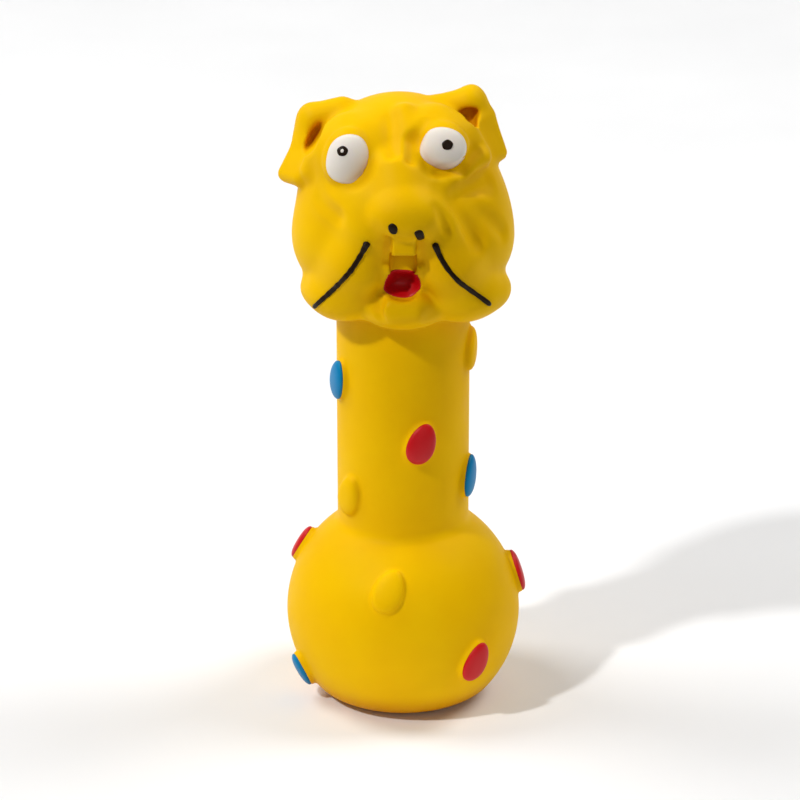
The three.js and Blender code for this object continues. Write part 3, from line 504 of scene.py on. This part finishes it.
def cell_vertices(values):
    shape = tuple(np.array(values.shape) - 1)
    total = np.zeros((*shape, 3), np.float32)
    found = np.zeros(shape, np.float32)
    for axis in range(3):
        order = [axis, (axis + 1) % 3, (axis + 2) % 3]
        turned = np.transpose(values, order)
        crossed = (turned[:-1] < 0) != (turned[1:] < 0)
        share = np.where(crossed, turned[:-1] / np.where(crossed, turned[:-1] - turned[1:], 1), 0)
        sums = np.transpose(total, [*order, 3])
        counts = np.transpose(found, order)
        for side in (0, 1):
            for rise in (0, 1):
                part = (
                    slice(None),
                    slice(side, crossed.shape[1] - 1 + side),
                    slice(rise, crossed.shape[2] - 1 + rise),
                )
                sums[..., axis] += share[part]
                sums[..., order[1]] += crossed[part] * side
                sums[..., order[2]] += crossed[part] * rise
                counts += crossed[part]
    return total, found


def surface_quads(low, counts):
    values = grid_values(low, counts)
    total, found = cell_vertices(values)
    used = found > 0
    numbers = np.full(found.shape, -1)
    numbers[used] = np.arange(used.sum())
    points = (np.argwhere(used) + total[used] / found[used][:, None]) * CELL + low
    quads = []
    for axis in range(3):
        order = [axis, (axis + 1) % 3, (axis + 2) % 3]
        inside = np.transpose(values < 0, order)[:, 1:-1, 1:-1]
        cells = np.transpose(numbers, order)
        crossed = inside[:-1] != inside[1:]
        corners = [cells[:, :-1, :-1], cells[:, 1:, :-1], cells[:, 1:, 1:], cells[:, :-1, 1:]]
        ring = np.stack(corners, -1)[crossed]
        outward = ~inside[:-1][crossed]
        ring[outward] = ring[outward][:, ::-1]
        quads.append(ring)
    return points, np.concatenate(quads)


def new_piece(name, points, faces, material, nodes, body="toy"):
    mesh = bpy.data.meshes.new(name)
    places = leaned(np.asarray(points)) + AXIS
    mesh.from_pydata(places.tolist(), [], [list(face) for face in faces])
    mesh.polygons.foreach_set("use_smooth", [True] * len(mesh.polygons))
    mesh.materials.append(material)
    mesh.update()
    piece = bpy.data.objects.new(name, mesh)
    bpy.context.scene.collection.objects.link(piece)
    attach(piece, body)
    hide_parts(*nodes)


def casting(material):
    margin = MARGIN_CELLS * CELL
    low = np.array([cad_low.x, cad_low.y, cad_low.z]) - AXIS - margin - BAND_CELLS * CELL
    high = np.array([cad_high.x, cad_high.y, cad_high.z]) - AXIS + margin + BAND_CELLS * CELL
    counts = np.ceil((high - low) / CELL).astype(int)
    points, quads = surface_quads(low, counts)
    points = settled(skin_field, points, SKIN_ROUNDS)
    new_piece("cast_skin", points, quads, material, ["latex_skin"])


# Coats: closed thin layers that lie on the casting, thick in the middle and thin at their edge.
# The points are a middle and then a count of rings, each of as many steps.
def coat_layer(points, count, steps, thickness):
    slope = gradient(outer_field, points)
    out = slope / np.maximum(length(slope), LEAST_SLOPE)[:, None]
    share = np.repeat(np.arange(count + 1) / count, [1] + [steps] * count)
    rise = np.sqrt(1 - share ** COAT_EDGE_POWER)
    points = np.concatenate([points + out * (thickness * rise)[:, None], points - out * COAT_ROOT])
    starts = [0] + [1 + steps * number for number in range(count)]
    starts += [start + 1 + steps * count for start in starts]
    faces = []
    for layer in (0, 1):
        offset = layer * (count + 1)
        for step in range(steps):
            following = (step + 1) % steps
            inner, outer = starts[offset], starts[offset + 1]
            faces.append(ordered([inner, outer + step, outer + following], layer))
            for number in range(1, count):
                inner, outer = starts[offset + number], starts[offset + number + 1]
                quad = [inner + step, outer + step, outer + following, inner + following]
                faces.append(ordered(quad, layer))
    edge_top, edge_bottom = starts[count], starts[2 * count + 1]
    for step in range(steps):
        following = (step + 1) % steps
        faces.append([edge_top + step, edge_bottom + step,
                      edge_bottom + following, edge_top + following])
    return points, faces


# The under layer's faces look the other way
def ordered(face, layer):
    return face[::-1] if layer else face


# The line of sight to the face, the plane before it that its places are given on, and the march
SIGHT_ELEVATION = math.radians(20)
SIGHT = np.array([0, math.cos(SIGHT_ELEVATION), -math.sin(SIGHT_ELEVATION)])
SIGHT_SHARE = -0.8
SIGHT_ROUNDS = 40
SIGHT_STEP_SHARE = 0.9


# Points of the face, given across and up in shares of the head, drawn in along the line of sight
def seen_points(shares):
    shares = np.asarray(shares, float)
    start = np.stack([shares[:, 0], np.full(len(shares), SIGHT_SHARE), shares[:, 1]], -1)
    points = start * HEAD_HALF + np.array([0, 0, JAW_HEIGHT]) - SIGHT * HEAD_HALF
    for _ in range(SIGHT_ROUNDS):
        points = points + SIGHT * (outer_field(points) * SIGHT_STEP_SHARE)[:, None]
    return points


# A middle and rings that grow out to a loop, as points on the face
def face_rings(centre, loop, count):
    rings = [np.array([centre])]
    for number in range(1, count + 1):
        rings.append(np.array(centre) + (loop - centre) * number / count)
    return seen_points(np.concatenate(rings))


def face_coat(name, loop, centre, count, thickness, material, node):
    points, faces = coat_layer(face_rings(centre, loop, count), count, len(loop), thickness)
    new_piece(name, points, faces, material, [node])


# Random waves along a line, as a hand leaves them, each with its height and its start
def hand_wave(random, places, waves):
    return sum(random.uniform(-1, 1) * np.cos(turns * places + random.uniform(0, 6))
               for turns in waves)


OVAL_WAVES = (2, 3, 5)


# A loop that is an oval, or squarer than one, with a hand's wobble
def oval(centre, half, tilt, steps, squareness=2, wobble=0, seed=0):
    random = np.random.default_rng(seed)
    angles = np.linspace(0, 2 * math.pi, steps, endpoint=False)
    uneven = 1 + wobble * hand_wave(random, angles, OVAL_WAVES)
    power = 2 / squareness
    across = np.sign(np.cos(angles)) * np.abs(np.cos(angles)) ** power * half[0] * uneven
    up = np.sign(np.sin(angles)) * np.abs(np.sin(angles)) ** power * half[1] * uneven
    turn = math.radians(tilt)
    return np.stack([centre[0] + across * math.cos(turn) - up * math.sin(turn),
                     centre[1] + across * math.sin(turn) + up * math.cos(turn)], -1)


# The painted face, across and up in shares of the head, with tilts in degrees and how far a coat
# rises as a multiple of the plain coat
EYE_SHARES = {
    "left": dict(centre=(-0.41, 1.64), half=(0.185, 0.235), tilt=-18, pupil=(-0.44, 1.71)),
    "right": dict(centre=(0.45, 1.65), half=(0.205, 0.195), tilt=-32, pupil=(0.49, 1.67)),
}
EYE_WHITE = dict(steps=48, squareness=2.2, wobble=0.012, seed=3)
EYE_WHITE_RINGS = 12
PUPIL = dict(steps=28, wobble=0.03, seed=5)
PUPIL_RADIUS_SHARE = 0.054
PUPIL_RINGS = 5
PUPIL_RISE = 1.9
# A painted highlight in the left pupil: a small white coat, with its half sizes as shares of the
# pupil, its tilt, steps, rings and rise
PUPIL_GLINT_SHARES = (0.35, 0.45)
PUPIL_GLINT_TILT = -20
PUPIL_GLINT_STEPS = 16
PUPIL_GLINT_RINGS = 3
PUPIL_GLINT_RISE = 2.3
NOSTRIL_SHARES = {
    "left": dict(centre=(-0.07, 0.92), half=(0.042, 0.052), tilt=0, squareness=2),
    "right": dict(centre=(0.155, 0.855), half=(0.04, 0.04), tilt=15, squareness=3),
}
NOSTRIL = dict(steps=28, wobble=0.04, seed=9)
NOSTRIL_RINGS = 5
MOUTH_COAT_SHARE = 0.97
MOUTH_COAT_RINGS = 24
JOWL_LINE_SHARES = {
    "left": [
        (-0.31, 0.81), (-0.37, 0.69), (-0.46, 0.54), (-0.54, 0.45),
        (-0.62, 0.37), (-0.72, 0.28), (-0.81, 0.2),
    ],
    "right": [
        (0.28, 0.79), (0.33, 0.66), (0.41, 0.53), (0.5, 0.43),
        (0.6, 0.36), (0.7, 0.29), (0.79, 0.22),
    ],
}

# A jowl line's brushing: its seed, its steps along and round, its half width with a swell at its
# start and a wave, its blunt ends, and how it rises from the skin
JOWL_LINE_SEEDS = {"left": 11, "right": 12}
JOWL_LINE_STEPS = 90
JOWL_LINE_SMOOTHINGS = 30
JOWL_LINE_SECTION = 12
JOWL_LINE_HALF = 0.68 * MM
JOWL_LINE_SWELL = 0.42 * MM
JOWL_LINE_SWELL_SHARE = 0.08
JOWL_LINE_WAVE = 0.05 * MM
JOWL_LINE_WAVES = (3, 5, 8, 13)
JOWL_LINE_WAVE_TURN = 6
JOWL_LINE_END_POWER = 40
JOWL_LINE_END_SHARE = 0.05
JOWL_LINE_RISE_SHARE = 0.8
JOWL_LINE_LIFT = 0.08 * MM


def eye_coats(side, white, black):
    eye = EYE_SHARES[side]
    loop = oval(eye["centre"], eye["half"], eye["tilt"], **EYE_WHITE)
    face_coat(f"{side}_eye_white", loop, eye["centre"], EYE_WHITE_RINGS, COAT_THICKNESS,
              white, f"eye_white_{side}")
    radius = PUPIL_RADIUS_SHARE
    loop = oval(eye["pupil"], (radius, radius), 0, **PUPIL)
    face_coat(f"{side}_pupil", loop, eye["pupil"], PUPIL_RINGS, PUPIL_RISE * COAT_THICKNESS,
              black, f"pupil_{side}")
    # A painted highlight: a white dot in the left pupil where its gloss catches the light
    if side == "left":
        half = [share * radius for share in PUPIL_GLINT_SHARES]
        loop = oval(eye["pupil"], half, PUPIL_GLINT_TILT, PUPIL_GLINT_STEPS)
        face_coat("left_pupil_painted_glint", loop, eye["pupil"], PUPIL_GLINT_RINGS,
                  PUPIL_GLINT_RISE * COAT_THICKNESS, white, "pupil_left")


def nostril_coat(side, black):
    spot = NOSTRIL_SHARES[side]
    loop = oval(**spot, **NOSTRIL)
    face_coat(f"{side}_nostril", loop, spot["centre"], NOSTRIL_RINGS, COAT_THICKNESS,
              black, f"nostril_{side}")


def mouth_coat(red):
    centre = MOUTH_LOOP.mean(0)
    loop = centre + (MOUTH_LOOP - centre) * MOUTH_COAT_SHARE
    face_coat("mouth_coat", loop, centre, MOUTH_COAT_RINGS, COAT_THICKNESS,
              red, "mouth_red")


def spot_coats(materials):
    counts = {"red": 0, "blue": 0}
    for colour, centre, axes in SPOTS:
        if colour not in counts:
            continue
        counts[colour] += 1
        rings = spot_rings(centre, axes, SPOT_COAT_RINGS, SPOT_COAT_STEPS)
        points, faces = coat_layer(rings, SPOT_COAT_RINGS, SPOT_COAT_STEPS, COAT_THICKNESS)
        name = f"{colour}_spot_{counts[colour]}"
        new_piece(f"{name}_coat", points, faces, materials[colour], [name])


def spot_rings(centre, axes, count, steps):
    share = np.repeat(np.linspace(0, SPOT_COAT_SHARE, count + 1), [1] + [steps] * count)
    angles = np.linspace(0, 2 * math.pi, steps, endpoint=False)
    angles = np.concatenate([[0], np.tile(angles, count)])
    out = np.sin(share * math.pi / 2) ** (2 / SPOT_ROUNDNESS)
    rise = np.cos(share * math.pi / 2) ** (2 / SPOT_ROUNDNESS)
    along = np.sin(angles) * out
    across = np.cos(angles) * out * (1 - SPOT_EGG_SHARE * along) * SPOT_COAT_WIDTH_SHARE
    local = np.stack([across * SPOT_WIDTH / 2, along * SPOT_LENGTH / 2, rise * SPOT_HEIGHT], -1)
    return settled(body_field, centre + local @ axes, SPOT_ROUNDS)


# The middle of a jowl line on the skin, smoothed between its corners
def jowl_line_path(side):
    corners = np.array(JOWL_LINE_SHARES[side])
    numbers = np.arange(len(corners))
    places = np.linspace(0, len(corners) - 1, JOWL_LINE_STEPS)
    path = np.stack([np.interp(places, numbers, corners[:, axis]) for axis in (0, 1)], -1)
    for _ in range(JOWL_LINE_SMOOTHINGS):
        path[1:-1] = (path[:-2] + 2 * path[1:-1] + path[2:]) / 4
    return seen_points(path)


def jowl_line(side, black):
    random = np.random.default_rng(JOWL_LINE_SEEDS[side])
    steps, section = JOWL_LINE_STEPS, JOWL_LINE_SECTION
    middle = jowl_line_path(side)
    along = np.gradient(middle, axis=0)
    along /= length(along)[:, None]
    slope = gradient(outer_field, middle)
    out = slope / length(slope)[:, None]
    across = np.cross(out, along)
    share = np.linspace(0, 1, steps)
    wave = hand_wave(random, share * JOWL_LINE_WAVE_TURN, JOWL_LINE_WAVES)
    swell = np.exp(-share / JOWL_LINE_SWELL_SHARE)
    half = JOWL_LINE_HALF + JOWL_LINE_SWELL * swell + JOWL_LINE_WAVE * wave
    ends = np.sqrt(np.clip(1 - np.abs(2 * share - 1) ** JOWL_LINE_END_POWER, 0, 1))
    half = half * np.maximum(ends, JOWL_LINE_END_SHARE)
    points, faces = [], []
    for number in range(section):
        angle = 2 * math.pi * number / section
        shift = math.cos(angle) * half
        depth = np.where(math.sin(angle) > 0, half * JOWL_LINE_RISE_SHARE, COAT_ROOT)
        rise = math.sin(angle) * depth + JOWL_LINE_LIFT
        points.append(middle + across * shift[:, None] + out * rise[:, None])
    points = np.stack(points, 1).reshape(-1, 3)
    for step in range(steps - 1):
        for number in range(section):
            following = (number + 1) % section
            faces.append([step * section + number, step * section + following,
                          (step + 1) * section + following, (step + 1) * section + number])
    faces.append(list(range(section))[::-1])
    faces.append([(steps - 1) * section + number for number in range(section)])
    new_piece(f"{side}_jowl_line", points, faces, black, [f"jowl_line_{side}"])


# Materials. Within its reach, painted shade darkens the colour in folds, creases and under
# overhangs, by a tone for how open the place is. Each noise is a scale and a detail, and what it
# mottles changes between its low and its high.
PAINTED_SHADE_REACH = 12 * MM
PAINTED_SHADE_SAMPLES = 8
PAINTED_SHADE_TONES = [(0.25, (0.75, 0.55, 0.6)), (0.8, (1, 1, 1))]
NOISE_LOW = 0.3
NOISE_HIGH = 0.7
MOTTLE = (45, 4)
GLOSS_MOTTLE = (160, 3)
GLOSS_SPREAD = 0.05
SOFT_GRAIN = (220, 3)
SOFT_GRAIN_DEPTH = 0.2 * MM
SOFT_GRAIN_STRENGTH = 0.35
FINE_GRAIN = (1600, 2)
GRAIN_DEPTH = 0.05 * MM
LATEX_GLOW = (1, 0.45, 0.1)
LATEX_GLOW_REACH = 1.2 * MM
PLASTIC_MOTTLE = (120, 3)
PLASTIC_DARK_SHARE = 0.93
PLASTIC_GRAIN = (900, 3)
PLASTIC_GRAIN_STRENGTH = 0.4
FLOOR_MOTTLE = (8, 2)
FLOOR_DARK = (0.9, 0.9, 0.9)
FLOOR_LIGHT = (0.93, 0.93, 0.93)
DISPLAY_GAMMA = 2.2


def new_material(name):
    material = bpy.data.materials.new(name)
    material.use_nodes = True
    nodes = material.node_tree.nodes
    return material, nodes, material.node_tree.links, nodes["Principled BSDF"]


def noise(nodes, links, scale, detail):
    place = nodes.new("ShaderNodeTexCoord")
    texture = nodes.new("ShaderNodeTexNoise")
    texture.inputs["Scale"].default_value = scale
    texture.inputs["Detail"].default_value = detail
    links.new(place.outputs["Object"], texture.inputs["Vector"])
    return texture.outputs["Fac"]


def ramp(nodes, links, value, stops):
    node = nodes.new("ShaderNodeValToRGB")
    for element, (place, colour) in zip(node.color_ramp.elements, stops):
        element.position = place
        element.color = (*colour, 1)
    links.new(value, node.inputs["Fac"])
    return node.outputs["Color"]


# A noise's two tones
def mottled(nodes, links, noise_kind, dark, light):
    value = noise(nodes, links, *noise_kind)
    return ramp(nodes, links, value, [(NOISE_LOW, dark), (NOISE_HIGH, light)])


def bump(nodes, links, height, distance, strength, under=None):
    node = nodes.new("ShaderNodeBump")
    node.inputs["Distance"].default_value = distance
    node.inputs["Strength"].default_value = strength
    links.new(height, node.inputs["Height"])
    if under is not None:
        links.new(under, node.inputs["Normal"])
    return node.outputs["Normal"]


# Painted shade: ambient occlusion darkens the colour in folds, creases and under overhangs, where
# shade falls
def with_painted_shade(nodes, links, colour):
    hollow = nodes.new("ShaderNodeAmbientOcclusion")
    hollow.samples = PAINTED_SHADE_SAMPLES
    hollow.inputs["Distance"].default_value = PAINTED_SHADE_REACH
    tone = ramp(nodes, links, hollow.outputs["AO"], PAINTED_SHADE_TONES)
    product = nodes.new("ShaderNodeVectorMath")
    product.operation = "MULTIPLY"
    links.new(colour, product.inputs[0])
    links.new(tone, product.inputs[1])
    return product.outputs["Vector"]


def latex(name, dark, light, roughness, specular, subsurface, grain):
    material, nodes, links, shader = new_material(name)
    colour = mottled(nodes, links, MOTTLE, dark, light)
    # The latex colour carries painted shade in its folds and under overhangs
    links.new(with_painted_shade(nodes, links, colour), shader.inputs["Base Color"])
    smoother, rougher = (roughness - GLOSS_SPREAD,) * 3, (roughness + GLOSS_SPREAD,) * 3
    links.new(mottled(nodes, links, GLOSS_MOTTLE, smoother, rougher), shader.inputs["Roughness"])
    shader.inputs["Subsurface Weight"].default_value = subsurface
    shader.inputs["Subsurface Radius"].default_value = LATEX_GLOW
    shader.inputs["Subsurface Scale"].default_value = LATEX_GLOW_REACH
    shader.inputs["Specular IOR Level"].default_value = specular
    height = noise(nodes, links, *SOFT_GRAIN)
    soft = bump(nodes, links, height, SOFT_GRAIN_DEPTH, SOFT_GRAIN_STRENGTH)
    fine = bump(nodes, links, noise(nodes, links, *FINE_GRAIN), GRAIN_DEPTH, grain, soft)
    links.new(fine, shader.inputs["Normal"])
    return material


def moulded(name, colour, roughness):
    material, nodes, links, shader = new_material(name)
    darker = tuple(PLASTIC_DARK_SHARE * part for part in colour)
    links.new(mottled(nodes, links, PLASTIC_MOTTLE, darker, colour), shader.inputs["Base Color"])
    shader.inputs["Roughness"].default_value = roughness
    height = noise(nodes, links, *PLASTIC_GRAIN)
    grain = bump(nodes, links, height, GRAIN_DEPTH, PLASTIC_GRAIN_STRENGTH)
    links.new(grain, shader.inputs["Normal"])
    return material


# A colour from 0 to 255 as the shader takes it
def linear(red, green, blue):
    return tuple((part / 255) ** DISPLAY_GAMMA for part in (red, green, blue))


# The squeaker's solids are carried as they are, with rounded edges and their own materials
SQUEAKER_ROUNDING = 0.2 * MM
REED_ROUNDING = 0.05 * MM


def finish_squeaker(plastic, film):
    for name in ("squeaker_housing", "reed_core", "reed_wedge", "reed"):
        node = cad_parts[name]
        node.data.materials.clear()
        node.data.materials.append(film if name == "reed" else plastic)
        bevel = node.modifiers.new("rounded edges", "BEVEL")
        bevel.width = REED_ROUNDING if name == "reed" else SQUEAKER_ROUNDING
        bevel.segments = 2
        bevel.limit_method = "ANGLE"


# The floor, in metres: it starts before the toy, sweeps up behind it and ends as a wall
FLOOR_FRONT = -0.2
FLOOR_BACK = 1
FLOOR_HALF_WIDTH = 3
SWEEP_RADIUS = 1
SWEEP_STEPS = 12
WALL_TOP = 4


def floor_sweep():
    material, nodes, links, shader = new_material("pale_floor")
    colour = mottled(nodes, links, FLOOR_MOTTLE, FLOOR_DARK, FLOOR_LIGHT)
    links.new(colour, shader.inputs["Base Color"])
    shader.inputs["Roughness"].default_value = 0.9
    shader.inputs["Specular IOR Level"].default_value = 0.1
    profile = [(FLOOR_FRONT, 0), (FLOOR_BACK, 0)]
    for step in range(1, SWEEP_STEPS + 1):
        angle = math.pi / 2 * step / SWEEP_STEPS
        depth = FLOOR_BACK + SWEEP_RADIUS * math.sin(angle)
        profile.append((depth, SWEEP_RADIUS * (1 - math.cos(angle))))
    profile.append((FLOOR_BACK + SWEEP_RADIUS, WALL_TOP))
    sides = (-FLOOR_HALF_WIDTH, FLOOR_HALF_WIDTH)
    points = [(side, depth, height) for depth, height in profile for side in sides]
    faces = [[2 * row, 2 * row + 1, 2 * row + 3, 2 * row + 2] for row in range(len(profile) - 1)]
    mesh = bpy.data.meshes.new("floor_sweep")
    mesh.from_pydata(points, [], faces)
    mesh.polygons.foreach_set("use_smooth", [True] * len(faces))
    mesh.materials.append(material)
    floor = bpy.data.objects.new("floor_sweep", mesh)
    bpy.context.scene.collection.objects.link(floor)


def area_light(name, place, aim, size, energy):
    light = bpy.data.lights.new(name, "AREA")
    light.shape = "DISK"
    light.size = size
    light.energy = energy
    lamp = bpy.data.objects.new(name, light)
    lamp.location = place
    lamp.rotation_euler = (Vector(aim) - Vector(place)).to_track_quat("-Z", "Y").to_euler()
    bpy.context.scene.collection.objects.link(lamp)


# A small key light from the upper left, a wide fill from the front, and two for the backdrop
WORLD_LIGHT = 0.1


def lights():
    area_light("key_light", place=(-1, -0.8, 1.35), aim=(0, 0, 0.12), size=0.12, energy=16)
    area_light("fill_light", place=(0.5, -1.6, 0.6), aim=(0, 0, 0.1), size=1.2, energy=3.5)
    for name, side in (("left_backdrop_light", -1), ("right_backdrop_light", 1)):
        area_light(name, place=(1.2 * side, 0.4, 1.6), aim=(0.2 * side, 0.7, 0), size=1, energy=18)
    world = bpy.data.worlds.new("studio")
    world.use_nodes = True
    world.node_tree.nodes["Background"].inputs["Color"].default_value = (1, 1, 1, 1)
    world.node_tree.nodes["Background"].inputs["Strength"].default_value = WORLD_LIGHT
    bpy.context.scene.world = world


# The camera as fitted to the photograph: where the toy's axis and the aim fall in its pixels
PHOTO_PIXELS = 800
AXIS_PIXEL = 403.1
AIM_PIXEL = 393
FOCAL_PIXELS = 3204
SENSOR = 36
AIM_HEIGHT = 90 * MM
CAMERA_DISTANCE = 0.9
CAMERA_ELEVATION = math.radians(20)


def camera():
    lens = bpy.data.cameras.new("camera")
    viewer = bpy.data.objects.new("camera", lens)
    bpy.context.scene.collection.objects.link(viewer)
    aim = Vector((AXIS[0], AXIS[1], AIM_HEIGHT))
    back = Vector((0, -math.cos(CAMERA_ELEVATION), math.sin(CAMERA_ELEVATION)))
    viewer.location = aim + back * CAMERA_DISTANCE
    viewer.rotation_euler = (-back).to_track_quat("-Z", "Y").to_euler()
    lens.sensor_width = SENSOR
    lens.lens = SENSOR * FOCAL_PIXELS / PHOTO_PIXELS
    lens.shift_x = (PHOTO_PIXELS / 2 - AXIS_PIXEL) / PHOTO_PIXELS
    lens.shift_y = (AIM_PIXEL - PHOTO_PIXELS / 2) / PHOTO_PIXELS
    bpy.context.scene.camera = viewer


camera()
floor_sweep()
lights()
bpy.context.scene.view_settings.view_transform = "Standard"

# The latex colours, each with its dark and its light tone, and the squeaker's plastics
yellow = latex("yellow_latex", linear(238, 182, 0), linear(245, 193, 0),
               roughness=0.5, specular=0.04, subsurface=0.04, grain=0.3)
red = latex("red_latex", linear(196, 8, 20), linear(208, 14, 28),
            roughness=0.42, specular=0.3, subsurface=0.05, grain=0.2)
blue = latex("blue_latex", linear(0, 118, 172), linear(0, 130, 186),
             roughness=0.42, specular=0.15, subsurface=0.05, grain=0.2)
white = latex("white_latex", linear(238, 226, 212), linear(246, 238, 228),
              roughness=0.45, specular=0.1, subsurface=0.1, grain=0.2)
black = latex("black_latex", linear(34, 24, 16), linear(46, 34, 24),
              roughness=0.35, specular=0.1, subsurface=0, grain=0.2)
plastic = moulded("housing_plastic", linear(232, 229, 221), roughness=0.4)
film = moulded("reed_plastic", linear(217, 210, 191), roughness=0.3)

casting(yellow)
for side in ("left", "right"):
    eye_coats(side, white, black)
    nostril_coat(side, black)
    jowl_line(side, black)
mouth_coat(red)
spot_coats({"red": red, "blue": blue})
finish_squeaker(plastic, film)
